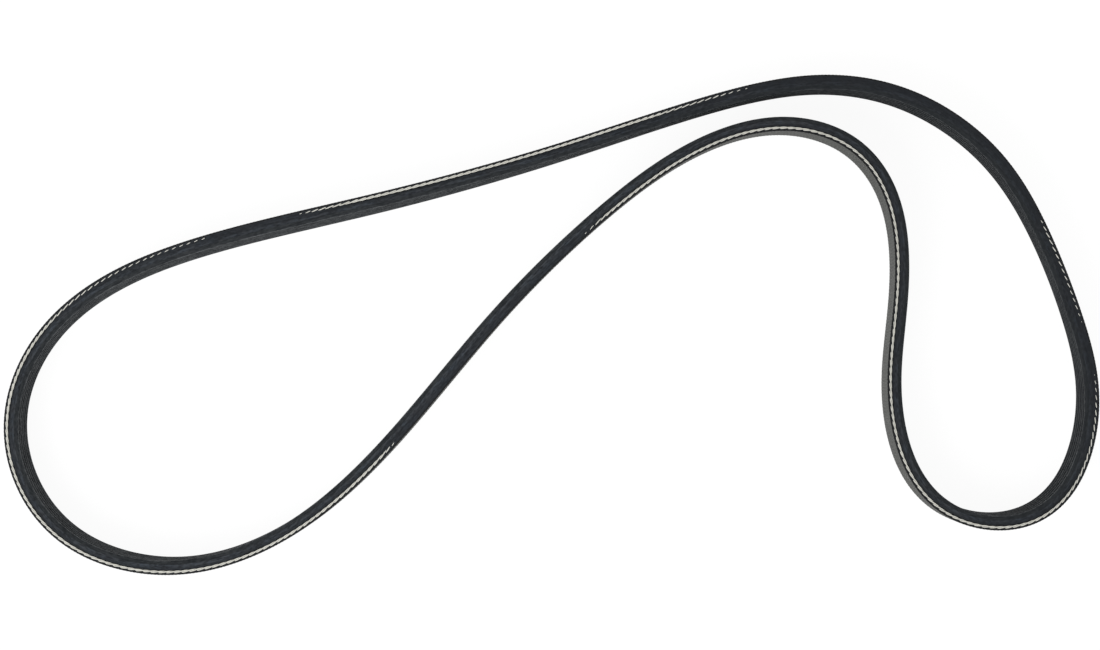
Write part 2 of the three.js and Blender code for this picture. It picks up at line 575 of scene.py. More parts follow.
# %% [markdown]
# ## Running a tree and keeping its result
#
# A modifier's inputs are set before the object is first evaluated, by the identifier of each
# socket. The modifier could stay on the piece, but a plain mesh is quicker to render and safe
# to export, so the result is copied to one, and what only the trees need is dropped from it.

# %% Run a tree
TREE_ONLY = (
    "place", "toward_ribs", "lean", "loop_share", "upper_depth", "lower_depth",
    "upper_open", "lower_open", "offset", "height", "girth", "wave_share",
    "upper_groove", "lower_groove", "ply_share", "ply_side", "ply_height",
)


def grow(name, source, tree, values):
    """A new object whose mesh is what the tree makes of the source mesh."""
    seed = bpy.data.objects.new(name + "_seed", source)
    bpy.context.scene.collection.objects.link(seed)
    modifier = seed.modifiers.new("grow", "NODES")
    modifier.node_group = tree
    sockets = {item.name: item.identifier for item in tree.interface.items_tree}
    for label, value in values.items():
        modifier[sockets[label]] = value
    evaluated = seed.evaluated_get(bpy.context.evaluated_depsgraph_get())
    mesh = bpy.data.meshes.new_from_object(evaluated)
    mesh.name = name
    bpy.data.objects.remove(seed)
    for key in TREE_ONLY:
        if key in mesh.attributes:
            mesh.attributes.remove(mesh.attributes[key])
    piece = bpy.data.objects.new(name, mesh)
    bpy.context.scene.collection.objects.link(piece)
    return piece


def report(piece):
    """Prints the piece's triangles and the volume that its faces enclose."""
    mesh = piece.data
    mesh.calc_loop_triangles()
    corners = np.empty(len(mesh.loop_triangles) * 3, np.int32)
    mesh.loop_triangles.foreach_get("vertices", corners)
    points = np.empty(len(mesh.vertices) * 3, np.float32)
    mesh.vertices.foreach_get("co", points)
    a, b, c = points.reshape(-1, 3)[corners.reshape(-1, 3)].astype(float).transpose(1, 0, 2)
    volume = np.einsum("ij,ij->i", a, np.cross(b, c)).sum() / 6
    print(piece.name, "triangles:", len(mesh.loop_triangles), "volume in mm3:", round(volume / MM**3))


print("attributes that only the trees need:", len(TREE_ONLY))

# %% [markdown]
# ## Shader groups that several finishes share
#
# Rubber that is cut or ground shows streaks along the cut, and all of these surfaces have a
# fine grain. Both effects are groups, so each material sets its own sizes. An image could show
# them too, but it would blur close up and would need an unwrapped surface. The streaks read the
# place on the drum instead: there the way round the belt is a circle, so a noise that is
# stretched along it closes on itself.

# %% Streaks and grain
STREAK_DETAIL = 2.0
STREAK_ROUGHNESS = 0.5
GRAIN_ROUGHNESS = 0.6


def spread_noise(tree, noise, spread):
    """Noise around one half, spread to the range from 0 to 1."""
    low = calculate(tree, "SUBTRACT", 0.5, spread)
    high = calculate(tree, "ADD", 0.5, spread)
    inputs = {"Value": noise, "From Min": low, "From Max": high}
    return add(tree, "ShaderNodeMapRange", inputs).outputs[0]


def streak_group():
    """Long fine streaks round the belt, from 0 to 1. A small spread makes them crisp."""
    inputs = [
        ("Place", "Vector"), ("Streak Length", "Float"), ("Streak Width", "Float"),
        ("Spread", "Float"),
    ]
    tree, ins, out = new_tree("lengthwise_streaks", "ShaderNodeTree", inputs, [("Streaks", "Float")])
    along = calculate(tree, "DIVIDE", 1.0, ins["Streak Length"])
    across = calculate(tree, "DIVIDE", 1.0, ins["Streak Width"])
    scale = combine(tree, along, along, across)
    inputs = {0: ins["Place"], 1: scale}
    place = add(tree, "ShaderNodeVectorMath", inputs, operation="MULTIPLY").outputs[0]
    inputs = {"Vector": place, "Scale": 1.0, "Detail": STREAK_DETAIL, "Roughness": STREAK_ROUGHNESS}
    noise = add(tree, "ShaderNodeTexNoise", inputs).outputs[0]
    plug(tree, spread_noise(tree, noise, ins["Spread"]), out.inputs[0])
    return tree


def grain_group():
    """Grain of a given size in the body of the material, from 0 to 1."""
    inputs = [("Grain Size", "Float"), ("Detail", "Float"), ("Spread", "Float")]
    tree, ins, out = new_tree("fine_grain", "ShaderNodeTree", inputs, [("Grain", "Float")])
    place = add(tree, "ShaderNodeTexCoord").outputs["Object"]
    scale = calculate(tree, "DIVIDE", 1.0, ins["Grain Size"])
    inputs = {"Vector": place, "Scale": scale, "Detail": ins["Detail"], "Roughness": GRAIN_ROUGHNESS}
    noise = add(tree, "ShaderNodeTexNoise", inputs).outputs[0]
    plug(tree, spread_noise(tree, noise, ins["Spread"]), out.inputs[0])
    return tree


STREAKS = streak_group()
GRAIN = grain_group()
print("shader groups:", STREAKS.name, GRAIN.name)

# %% [markdown]
# ## Helpers for the materials
#
# Each material keeps its own Principled shader. Numbers that are the same all over, such as
# the specular level, are set on that shader, and only what changes over the surface is linked.
# Rubber and yarn are both dull, so they share a low specular level. The Mix node has a set of
# sockets for each kind of value, and the numbers below are those of its colours.

# %% Material helpers
DULL = 0.2
MIX_FIRST_COLOUR = 6
MIX_SECOND_COLOUR = 7
MIX_COLOUR_OUT = 2


def new_material(name, uniform):
    """A material with one Principled shader, and its uniform numbers set."""
    material = bpy.data.materials.new(name)
    material.use_nodes = True
    shader = material.node_tree.nodes["Principled BSDF"]
    for key, value in uniform.items():
        shader.inputs[key].default_value = value
    return material, material.node_tree, shader


def group(tree, source, inputs):
    """The only output of a shader group, with its inputs set by name."""
    return add(tree, "ShaderNodeGroup", inputs, node_tree=source).outputs[0]


def attribute(tree, name, output="Fac"):
    """A number or a vector that the piece carries."""
    return add(tree, "ShaderNodeAttribute", attribute_name=name).outputs[output]


def blend_colours(tree, share, first, second):
    """One colour at share 0 and another at share 1."""
    node = add(tree, "ShaderNodeMix", data_type="RGBA")
    plug(tree, share, node.inputs["Factor"])
    plug(tree, first, node.inputs[MIX_FIRST_COLOUR])
    plug(tree, second, node.inputs[MIX_SECOND_COLOUR])
    return node.outputs[MIX_COLOUR_OUT]


def in_range(tree, value, low, high):
    """A number from 0 to 1 spread between two others."""
    inputs = {"Value": value, "To Min": low, "To Max": high}
    return add(tree, "ShaderNodeMapRange", inputs).outputs[0]


def raise_surface(tree, shader, height, distance, strength=1.0):
    """Bump from a height between 0 and 1, as deep as the distance."""
    inputs = {"Height": height, "Distance": distance, "Strength": strength}
    plug(tree, add(tree, "ShaderNodeBump", inputs).outputs[0], shader.inputs["Normal"])


print("specular level of rubber and yarn:", DULL)

# %% [markdown]
# ## The rubber
#
# The cut edges and the ribs are the same black rubber with a blue cast, but they differ in
# finish. The blade leaves the cut face mottled and streaked. Over the cord's groove and the
# trough beside it the cut face is painted darker, which is painted shade, and it is a little
# paler towards the ribs. The ribs were ground to their form: their flanks and valleys stay
# black, and their tips are paler, partly scuffed by the pulleys and partly a painted highlight
# on their rounded corners. Two materials would meet in a hard line, so one material reads
# from the piece whether it is on a cut face and how pale scuffing and painted light make it.
# The rubber is also painted paler on the parts of the loop that take more light.
#
# Nicks and lines give the rubber its colour, and patches, pores and scratches break it up. The
# pale colours are what rubber comes to where it is scuffed most, and they also carry the painted
# highlights and the painted light.

# %% Rubber material
CUT_DARK = (0.0055, 0.007, 0.0095, 1)
CUT_PALE = (0.054, 0.058, 0.064, 1)
CUT_BLUE = (0.041, 0.051, 0.064, 1)
RIB_DARK = (0.0055, 0.0075, 0.0095, 1)
RIB_PALE = (0.079, 0.085, 0.09, 1)
NICKS = {"Streak Length": 1.5 * MM, "Streak Width": 0.5 * MM, "Spread": 0.1}
LINES = {"Streak Length": 9 * MM, "Streak Width": 0.5 * MM, "Spread": 0.14}
NICK_SHARE = 0.55
PATCHES = {"Grain Size": 4 * MM, "Detail": 3.0, "Spread": 0.15}
PATCH_WEAR = (0.85, 1.15)
PORES = {"Grain Size": 0.25 * MM, "Detail": 2.0, "Spread": 0.2}
PORE_HEIGHT = 0.4
SCRATCHES = {"Streak Length": 6 * MM, "Streak Width": 0.12 * MM, "Spread": 0.15}
SCRATCH_HEIGHT = 0.5
SCRATCH_ROUGHNESS = 0.12
RUBBER_ROUGHNESS = 0.68
RUBBER_RELIEF = 0.04 * MM


def rubber_marks(tree, place):
    """Nicks and long lines left by the blade or the grinder, from 0 to 1."""
    nicks = group(tree, STREAKS, {"Place": place, **NICKS})
    lines = group(tree, STREAKS, {"Place": place, **LINES})
    lines = calculate(tree, "MULTIPLY", lines, 1 - NICK_SHARE)
    return calculate(tree, "MULTIPLY_ADD", nicks, NICK_SHARE, lines)


def rubber_material():
    """Black rubber, cut at the edges and ground on the ribs."""
    material, tree, shader = new_material("black_rubber", {"Specular IOR Level": DULL})
    place = attribute(tree, "drum_place", "Vector")
    cut = attribute(tree, "cut_face")
    marks = rubber_marks(tree, place)
    patches = group(tree, GRAIN, PATCHES)

    # Scuffing with painted highlights on the rib tips and painted shade by the cord, times the
    # painted light round the loop, sets how pale the rubber is.
    light_and_wear = calculate(tree, "MULTIPLY", attribute(tree, "scuff_and_light"), attribute(tree, "light_and_wear"))
    light_and_wear = calculate(tree, "MULTIPLY", light_and_wear, in_range(tree, patches, *PATCH_WEAR))
    tone = calculate(tree, "MULTIPLY", marks, light_and_wear)
    pale = blend_colours(tree, patches, CUT_PALE, CUT_BLUE)
    cut_colour = blend_colours(tree, tone, CUT_DARK, pale)
    rib_colour = blend_colours(tree, tone, RIB_DARK, RIB_PALE)
    plug(tree, blend_colours(tree, cut, rib_colour, cut_colour), shader.inputs["Base Color"])

    scratches = group(tree, STREAKS, {"Place": place, **SCRATCHES})
    rough = calculate(tree, "MULTIPLY_ADD", scratches, SCRATCH_ROUGHNESS, RUBBER_ROUGHNESS)
    plug(tree, rough, shader.inputs["Roughness"])
    pores = group(tree, GRAIN, PORES)
    height = calculate(tree, "MULTIPLY_ADD", pores, PORE_HEIGHT, marks)
    height = calculate(tree, "MULTIPLY_ADD", scratches, SCRATCH_HEIGHT, height)
    raise_surface(tree, shader, height, RUBBER_RELIEF)
    return material


RUBBER = rubber_material()
print("material:", RUBBER.name)

# %% [markdown]
# ## The backing
#
# The back runs over smooth idler pulleys. It was cured against a cloth, which left a fine
# weave and low cross ribs about a millimetre apart, and its fibres make it greyer than the
# ribs. Sheen gives fibres their pale look at a low angle. The rim of the backing, round the
# corner, is cut rubber again, and it stays black.
#
# A weave needs two directions, along and across the belt. The drum gives both: the angle round
# it counts the threads along, and its length counts the threads across.

# %% Backing material
BACKING_DARK = (0.014, 0.015, 0.0125, 1)
BACKING_PALE = (0.05, 0.0525, 0.044, 1)
BACKING_CUT = (0.0025, 0.0028, 0.0035, 1)
BACKING_SHEEN = 0.1
SHEEN_ROUGHNESS = 0.5
WEAVE_PITCH = 0.42 * MM
MOTTLE = {"Grain Size": 4 * MM, "Detail": 3.0, "Spread": 0.2}
MOTTLED_CREST = (0.3, 1.0)
FIBRES = {"Grain Size": 0.15 * MM, "Detail": 3.0, "Spread": 0.2}
FIBRE_HEIGHT = 0.5
CREST_SHARE = 0.6
CLOTH_SHARE = 0.16
FIBRE_SHARE = 0.32
BACKING_ROUGHNESS = (0.62, 0.8)
BACKING_RELIEF = 0.03 * MM


def weave(tree, place):
    """A plain weave on the drum: threads along and across, from 0 to 1."""
    parts = add(tree, "ShaderNodeSeparateXYZ", {0: place}).outputs
    angle = calculate(tree, "ARCTAN2", parts[1], parts[0])
    threads = round(PITCH_LENGTH / WEAVE_PITCH)
    around = calculate(tree, "SINE", calculate(tree, "MULTIPLY", angle, threads))
    across = calculate(tree, "MULTIPLY", parts[2], 2 * math.pi / WEAVE_PITCH)
    across = calculate(tree, "SINE", across)
    both = calculate(tree, "MULTIPLY", around, across)
    return calculate(tree, "MULTIPLY_ADD", both, 0.5, 0.5)


def backing_material():
    """Rubber with the imprint of a cloth, and a black cut rim."""
    material, tree, shader = new_material("cloth_marked_backing", {
        "Specular IOR Level": DULL,
        "Sheen Weight": BACKING_SHEEN,
        "Sheen Roughness": SHEEN_ROUGHNESS,
    })
    rim = attribute(tree, "cut_face")
    cloth = weave(tree, attribute(tree, "drum_place", "Vector"))
    mottle = group(tree, GRAIN, MOTTLE)
    fibres = group(tree, GRAIN, FIBRES)

    crest = attribute(tree, "crest")
    crest = calculate(tree, "MULTIPLY", crest, in_range(tree, mottle, *MOTTLED_CREST))
    worn = calculate(tree, "MULTIPLY", crest, CREST_SHARE)
    worn = calculate(tree, "MULTIPLY_ADD", cloth, CLOTH_SHARE, worn)
    worn = calculate(tree, "MULTIPLY_ADD", fibres, FIBRE_SHARE, worn)
    colour = blend_colours(tree, worn, BACKING_DARK, BACKING_PALE)
    plug(tree, blend_colours(tree, rim, colour, BACKING_CUT), shader.inputs["Base Color"])
    plug(tree, in_range(tree, fibres, *BACKING_ROUGHNESS), shader.inputs["Roughness"])
    imprint = calculate(tree, "MULTIPLY", cloth, calculate(tree, "SUBTRACT", 1.0, rim))
    height = calculate(tree, "MULTIPLY_ADD", fibres, FIBRE_HEIGHT, imprint)
    raise_surface(tree, shader, height, BACKING_RELIEF)
    return material


BACKING_CLOTH = backing_material()
print("material:", BACKING_CLOTH.name)

# %% [markdown]
# ## The cord's yarn
#
# The cord is polyester, dipped so that rubber sticks to it, which turns it cream. Each ply is
# a bundle of hair-thin filaments, so it shows fine lines along itself. The yarn is cream where
# it faces the cut and is painted grey in the valleys between the plies, as painted shade. Ambient
# occlusion could find those valleys, but how far a point faces the cut is known exactly.

# %% Yarn material
YARN_CREAM = (0.8, 0.79, 0.715, 1)
# YARN_SHADE is painted shade, for the valleys between the plies.
YARN_SHADE = (0.17, 0.165, 0.15, 1)
VALLEY_FACING = 0.25
CREST_FACING = 0.95
STRANDS = {"Streak Length": 2.5 * MM, "Streak Width": 0.06 * MM, "Spread": 0.2}
STRAND_CLEAN = (1.0, 0.75)
TUFTS = {"Grain Size": 0.9 * MM, "Detail": 3.0, "Spread": 0.2}
TUFT_CLEAN = (1.0, 0.72)
YARN_ROUGHNESS = (0.7, 0.9)
YARN_RELIEF = 0.02 * MM


def yarn_material():
    """Cream polyester yarn, cream on the sliced crests and with painted shade in the valleys."""
    material, tree, shader = new_material("cream_polyester_yarn", {"Specular IOR Level": DULL})
    place = attribute(tree, "ply_place", "Vector")
    strands = group(tree, STREAKS, {"Place": place, **STRANDS})
    tufts = group(tree, GRAIN, TUFTS)
    facing = attribute(tree, "facing_cut")
    inputs = {"Value": facing, "From Min": VALLEY_FACING, "From Max": CREST_FACING}
    crest = add(tree, "ShaderNodeMapRange", inputs, interpolation_type="SMOOTHSTEP").outputs[0]
    lit_and_clean = calculate(tree, "MULTIPLY", crest, in_range(tree, strands, *STRAND_CLEAN))
    lit_and_clean = calculate(tree, "MULTIPLY", lit_and_clean, in_range(tree, tufts, *TUFT_CLEAN))
    plug(tree, blend_colours(tree, lit_and_clean, YARN_SHADE, YARN_CREAM), shader.inputs["Base Color"])
    plug(tree, in_range(tree, strands, *YARN_ROUGHNESS), shader.inputs["Roughness"])
    raise_surface(tree, shader, strands, YARN_RELIEF)
    return material


YARN = yarn_material()
print("material:", YARN.name)

# %% [markdown]
# ## Ribs and valleys
#
# A rib has straight flanks, a rounded tip and a rounded valley on either side. Only the rounds
# need points, because the flank between them is one straight face. Each point also says how
# deep the groove of the cord is there, whether it lies on a cut face, and how pale it is made
# by scuffing and painted light. The tips are paler, partly from scuffing and partly as a painted
# highlight on their rounded corners, and the two outer ribs get the strongest painted highlight.
#
# Smooth shading bends the look of a flat face towards its corners. Two points close together
# at a corner keep that bend small, which costs less than a Bevel modifier.

# %% Rib and valley
VALLEY_SCUFF = 0.27
FLANK_SCUFF = 0.27
# Rib tips are paler from scuffing and a painted highlight; on the outer ribs it is mostly painted
# highlight.
TIP_SCUFF_AND_HIGHLIGHT = 0.88
OUTER_TIP_SCUFF_AND_HIGHLIGHT = 1.4
TIP_STEPS = 4
VALLEY_STEPS = 5
NEAR = 0.1 * MM
CREASE = NEAR / 8


def arc(offset, height, radius, start, end, steps):
    """Points of a round corner, from one angle to another."""
    angles = [start + (end - start) * i / steps for i in range(steps + 1)]
    return [(offset + radius * math.cos(a), height + radius * math.sin(a)) for a in angles]


def rib_tip(middle, scuff_and_light):
    """The two rounded corners of a rib's tip, with a paleness that grows over each: scuffing and a
    painted highlight.
    """
    flat_half = TIP_HALF - TIP_RADIUS * CORNER_REACH
    centre = TIP - TIP_RADIUS
    lower = arc(centre, middle - flat_half, TIP_RADIUS, -ROUND_SWEEP, 0, TIP_STEPS)
    upper = arc(centre, middle + flat_half, TIP_RADIUS, 0, ROUND_SWEEP, TIP_STEPS)
    growth = [math.sin(math.pi / 2 * i / TIP_STEPS) for i in range(TIP_STEPS + 1)]
    grown = [FLANK_SCUFF + (scuff_and_light - FLANK_SCUFF) * share for share in growth]
    rows = [(t, z, 0.0, 0.0, 0.0, worn) for (t, z), worn in zip(lower, grown)]
    return rows + [(t, z, 0.0, 0.0, 0.0, worn) for (t, z), worn in zip(upper, reversed(grown))]


def valley(height):
    """The round bottom between two ribs, with a point near each end of it on the flanks."""
    centre = VALLEY + VALLEY_RADIUS
    sweep = (math.pi + ROUND_SWEEP, math.pi - ROUND_SWEEP)
    bottom = arc(centre, height, VALLEY_RADIUS, *sweep, VALLEY_STEPS)
    reach, rise = NEAR * math.cos(FLANK), NEAR * math.sin(FLANK)
    before = (bottom[0][0] + reach, bottom[0][1] - rise)
    after = (bottom[-1][0] + reach, bottom[-1][1] + rise)
    return [(t, z, 0.0, 0.0, 0.0, VALLEY_SCUFF) for t, z in [before] + bottom + [after]]


print("points in a rib's tip:", len(rib_tip(0, TIP_SCUFF_AND_HIGHLIGHT)), "and in a valley:", len(valley(0)))

# %% [markdown]
# ## Section of the rubber
#
# The outline starts beside the backing at the lower edge, crosses the cut face, follows the
# six ribs and comes back across the upper cut face.
#
# Rubber fills the twist on the backing's side right up to the cut, which gives the cord its
# scalloped border there. On the ribs' side the blade dug in, so a trough runs beside the cord.
# The trough is given as pairs of offset from the cords and depth below the cut, both in
# millimetres, for a place where it is fully open.

# %% Outline of ribs and edges
GROOVE = [
    (-0.45, 0.0),
    (-0.36, 0.01),
    (-0.2, 0.02),
    (-0.06, 0.06),
    (0.05, 0.2),
    (0.15, 0.4),
    (0.3, 0.52),
    (0.44, 0.42),
    (0.52, 0.3),
    (0.62, 0.2),
    (0.76, 0.12),
    (0.9, 0.05),
    (1.05, 0.0),
]
# Painted shade: the cut face is painted darker over the cord's groove and the trough beside it, and
# paler from CUT_SCUFF_START towards the ribs.
GROOVE_SHADED_SCUFF = 0.35
CUT_SCUFF = 0.75
CUT_SCUFF_START = 1.5 * MM


def edge_points():
    """The cut face from the backing to the outer rib: offset, groove depth, and paleness with painted
    shade by the cord.
    """
    face = [(BACK + BACKING, 0.0, GROOVE_SHADED_SCUFF)]
    face += [(offset * MM, depth * MM, GROOVE_SHADED_SCUFF) for offset, depth in GROOVE]
    scuffed = (CUT_SCUFF_START, FLANK_START - NEAR, FLANK_START - CREASE)
    return face + [(offset, 0.0, CUT_SCUFF) for offset in scuffed]


def rubber_outline():
    """Rows of offset, height, lower groove, upper groove, cut face, and scuffing with painted light
    and shade.
    """
    edge = edge_points()
    top = BELT_WIDTH
    slope = math.tan(FLANK)
    flank = [(FLANK_START + step, step * slope) for step in (CREASE, NEAR)]
    rows = [(t, 0.0, depth, 0.0, 1.0, scuff_and_light) for t, depth, scuff_and_light in edge]
    rows += [(t, z, 0.0, 0.0, 0.0, FLANK_SCUFF) for t, z in flank]
    for i in range(RIB_COUNT):
        foot = i * RIB_PITCH - EDGE_TRIM
        if i > 0:
            rows += valley(foot)
        outer = i in (0, RIB_COUNT - 1)
        rows += rib_tip(foot + RIB_PITCH / 2, OUTER_TIP_SCUFF_AND_HIGHLIGHT if outer else TIP_SCUFF_AND_HIGHLIGHT)
    rows += [(t, top - z, 0.0, 0.0, 0.0, FLANK_SCUFF) for t, z in reversed(flank)]
    rows += [(t, top, 0.0, depth, 1.0, scuff_and_light) for t, depth, scuff_and_light in reversed(edge)]
    return np.array(rows)


rubber_rows = rubber_outline()
print("points in the rubber's section:", len(rubber_rows))

# %% [markdown]
# ## A section that carries numbers
#
# The section is drawn with its offset as x and its height as y, as a ring mesh like the route.
# Its girth, the distance along its outline, is the other direction of the patterns on the
# drum. The share of the cross ribs that a point takes matters on the backing alone.

# %% Section as a ring


def section_object(name, rows, wave_share=None):
    """A section as a ring mesh that carries its numbers."""
    offset, height, lower, upper, cut, scuff_and_light = rows.T
    girth = np.concatenate([[0], np.cumsum(np.hypot(np.diff(offset), np.diff(height)))])
    points = np.stack([offset, height, np.zeros(len(rows))], 1)
    attributes = {
        "offset": offset, "height": height, "lower_groove": lower, "upper_groove": upper,
        "cut_face": cut, "scuff_and_light": scuff_and_light, "girth": girth,
        "wave_share": np.zeros(len(rows)) if wave_share is None else wave_share,
    }
    section = bpy.data.objects.new(name, numbered_line(name, points, attributes))
    bpy.context.scene.collection.objects.link(section)
    return section


print("numbers in each row of an outline:", rubber_rows.shape[1])

# %% [markdown]
# ## The ribbed rubber
#
# The ribs repeat across the width and the section follows the route, so this main piece is a
# plain sweep. A curve's own bevel object could sweep it too, but it would lose the numbers of
# the section. A station every millimetre and a half keeps the tightest bend smooth.

# %% Sweep the rubber
RUBBER_STATIONS = 620
SHARP_ANGLE = math.radians(50)


def sweep_layer(name, stations, rows, material, wave_share=None, cross_ribs=0, depth=0.0):
    """Sweeps a section round the loop and returns the finished piece."""
    section = section_object(name + "_section", rows, wave_share)
    values = {
        "Section": section, "Belt Width": BELT_WIDTH, "Loop Length": PITCH_LENGTH,
        "Cross Ribs": float(cross_ribs), "Cross Rib Depth": depth,
        "Sharp Angle": SHARP_ANGLE, "Material": material,
    }
    piece = grow(name, route_ring(name + "_route", stations), LAYER_SWEEP, values)
    bpy.data.objects.remove(section)
    report(piece)
    return piece


ribbed_rubber = sweep_layer("ribbed_rubber", RUBBER_STATIONS, rubber_rows, RUBBER)

# %% [markdown]
# ## The backing layer
#
# The backing is a thin strip with rounded outer corners, worn by handling. Its cross ribs are
# too regular and too many to place by hand. Bump would show them from the front, but not in the
# outline of the wall, so they are one wave in the sweep, with six stations to each. They fade
# out over the rounded corners, so the border of the cut edge stays smooth.

# %% Sweep the backing
CROSS_RIBS = 900
CROSS_RIB_DEPTH = 0.08 * MM
STATIONS_PER_CROSS_RIB = 6
BACK_CORNER = 0.13 * MM
CORNER_STEPS = 3
RIB_AT_CUT = 0.1
RIB_PER_STEP = 0.15


def backing_outline():
    """Rows of the backing's section, and how much of the cross ribs each point takes."""
    inner, outer, top = BACK + BACKING, BACK, BELT_WIDTH
    centre = outer + BACK_CORNER
    points = [(inner, 0.0, 0.0, 1.0), (centre + NEAR, 0.0, 0.0, 1.0)]
    shares = [RIB_AT_CUT + RIB_PER_STEP * i for i in range(CORNER_STEPS + 1)]
    lower = arc(centre, BACK_CORNER, BACK_CORNER, -math.pi / 2, -math.pi, CORNER_STEPS)
    points += [(t, z, share, 1.0) for (t, z), share in zip(lower, shares)]
    points += [(outer, BACK_CORNER + NEAR, 1.0, 0.0), (outer, top - BACK_CORNER - NEAR, 1.0, 0.0)]
    upper = arc(centre, top - BACK_CORNER, BACK_CORNER, math.pi, math.pi / 2, CORNER_STEPS)
    points += [(t, z, share, 1.0) for (t, z), share in zip(upper, reversed(shares))]
    points += [(centre + NEAR, top, 0.0, 1.0), (inner, top, 0.0, 1.0)]
    t, z, share, cut = np.array(points).T
    empty = np.zeros(len(t))
    return np.stack([t, z, empty, empty, cut, empty], 1)[::-1], share[::-1]


backing_rows, backing_share = backing_outline()
backing_layer = sweep_layer(
    "backing_layer", CROSS_RIBS * STATIONS_PER_CROSS_RIB, backing_rows, BACKING_CLOTH,
    backing_share, CROSS_RIBS, CROSS_RIB_DEPTH,
)

# %% [markdown]
# ## Winding the plies of the cord
#
# The cord has three plies, each a helix round the cord's own centre line. A spiral along each
# ply could be drawn point by point, but Duplicate Elements copies the route once for each ply
# and Set Position winds the copies, all from a few named sizes. Three round plies that touch
# each other fill a circle, which gives their radius and how far they lie from the middle.

# %% Wind the plies
CORD_PLIES = 3
CORD_TURNS = 135
YARN_FILL = 0.88
PLY_RADIUS = YARN_FILL * CORD_RADIUS / (1 + 2 / math.sqrt(3))
LAY_RADIUS = YARN_FILL * CORD_RADIUS - PLY_RADIUS


def wind_ply(tree, ins):
    """The route copied for each ply and wound round the cord's centre line."""
    route_curve = ring_as_curve(tree, ins["Route"])
    inputs = {"Geometry": route_curve, "Amount": ins["Plies"]}
    copies = add(tree, "GeometryNodeDuplicateElements", inputs, domain="SPLINE")
    ply = calculate(tree, "DIVIDE", copies.outputs["Duplicate Index"], ins["Plies"])
    turns = calculate(tree, "MULTIPLY", read(tree, "loop_share"), ins["Turns"])
    angle = calculate(tree, "SUBTRACT", ply, turns)
    angle = calculate(tree, "MULTIPLY", angle, 2 * math.pi)
    out = calculate(tree, "MULTIPLY", calculate(tree, "COSINE", angle), ins["Lay Radius"])
    up = calculate(tree, "MULTIPLY", calculate(tree, "SINE", angle), ins["Lay Radius"])
    depths = {"False": read(tree, "upper_depth"), "True": read(tree, "lower_depth")}
    inputs = {"Switch": ins["Lower Edge"], **depths}
    depth = add(tree, "GeometryNodeSwitch", inputs, input_type="FLOAT").outputs[0]
    sunk = calculate(tree, "MULTIPLY", depth, ins["Inward"])
    centre = calculate(tree, "ADD", ins["Edge Height"], sunk)
    height = calculate(tree, "ADD", centre, up)
    place = inside_place(tree, out, height, ins["Belt Width"])
    inputs = {"Geometry": copies.outputs["Geometry"], "Position": place}
    wound = add(tree, "GeometryNodeSetPosition", inputs).outputs[0]
    wound = store(tree, wound, "ply_height", height)
    return store(tree, wound, "ply_share", ply)


print("radius of a ply in mm:", round(PLY_RADIUS / MM, 3), "lay:", round(LAY_RADIUS / MM, 3))

# %% [markdown]
# ## Slicing the cord
#
# The blade cuts off what stands above the cut. A Boolean would leave sharp flats and take
# long, so what stands proud is pressed down to the cut instead, and keeps a little of its
# crown. The cut dips towards the ribs, so the border of the cord is straighter there. The
# step also stores how far each point faces the cut, which the yarn's painted shade needs.

# %% Slice the cord
CUT_PROUD = 0.02 * MM
CUT_DIP = 0.16
KEPT_CROWN = 0.18


def slice_cord(tree, ins, geometry):
    """Presses down what stands beyond the cut."""
    position = add(tree, "GeometryNodeInputPosition").outputs[0]
    height = add(tree, "ShaderNodeSeparateXYZ", {0: position}).outputs[2]
    back_to = stretch(tree, read(tree, "place", "FLOAT_VECTOR"), -1.0)
    away = add_vectors(tree, position, back_to)
    inputs = {0: away, 1: read(tree, "toward_ribs", "FLOAT_VECTOR")}
    offset = add(tree, "ShaderNodeVectorMath", inputs, operation="DOT_PRODUCT").outputs["Value"]
    dip = calculate(tree, "MAXIMUM", offset, 0.0)
    least = calculate(tree, "SUBTRACT", calculate(tree, "MULTIPLY", dip, ins["Dip"]), ins["Proud"])
    depth = calculate(tree, "SUBTRACT", height, ins["Edge Height"])
    depth = calculate(tree, "MULTIPLY", depth, ins["Inward"])
    beyond = calculate(tree, "MAXIMUM", calculate(tree, "SUBTRACT", least, depth), 0.0)
    lost = calculate(tree, "SUBTRACT", 1.0, ins["Kept Crown"])
    pressed = calculate(tree, "MULTIPLY", beyond, lost)
    below = calculate(tree, "SUBTRACT", read(tree, "ply_height"), height)
    toward_cut = calculate(tree, "MULTIPLY", below, ins["Inward"])
    facing = calculate(tree, "DIVIDE", toward_cut, ins["Ply Radius"])
    geometry = store(tree, geometry, "facing_cut", facing)
    move = combine(tree, 0.0, 0.0, calculate(tree, "MULTIPLY", pressed, ins["Inward"]))
    inputs = {"Geometry": geometry, "Offset": move}
    return add(tree, "GeometryNodeSetPosition", inputs).outputs[0]


print("crown that is kept:", KEPT_CROWN)

# %% [markdown]
# ## A tree that lays the twisted cord
#
# The whole tree winds the plies, gives them their thickness with Curve to Mesh, and slices
# them. Each ply's own place on the drum is stored too, so that its strands run along it.

# %% Cord tree
NO_SHARP_EDGES = math.pi


